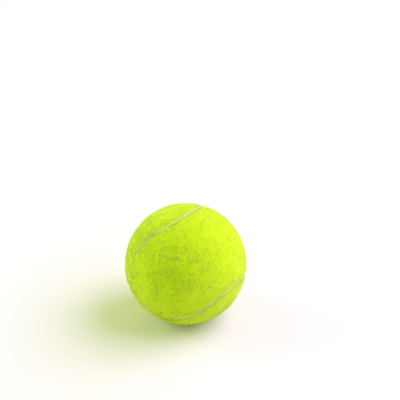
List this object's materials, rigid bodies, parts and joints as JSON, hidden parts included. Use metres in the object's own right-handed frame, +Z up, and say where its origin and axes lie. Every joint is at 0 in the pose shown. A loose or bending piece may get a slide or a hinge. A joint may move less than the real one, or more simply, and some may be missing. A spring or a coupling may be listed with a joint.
{
  "type": "dog ball",
  "caption": "Felt-covered hollow rubber ball for dogs, with dog-bone felt panels joined along one curved cement seam.",
  "frame": {"origin": "centre of the ball", "axes": "+Z up as the ball lies, +X to the right and -Y towards a viewer in front; the felt seam is turned as seen from there"},
  "size_m": [0.0648, 0.065, 0.0649],
  "materials": {
    "felt": "matte napped felt, yellow-green",
    "seam_cement": "matte, pale grey-green, slightly uneven",
    "adhesive": "dull, translucent cream",
    "core_rubber": "matte moulded, dark grey",
    "joint_cement": "dull cured cement, black"
  },
  "bodies": {
    "root": {"core_half_upper": "core_rubber", "core_half_lower": "core_rubber", "core_joint_cement": "joint_cement", "panel_adhesive_a": "adhesive", "panel_adhesive_b": "adhesive", "felt_panel_a": "felt", "felt_panel_b": "felt", "seam_cement": "seam_cement"}
  },
  "joints": []
}
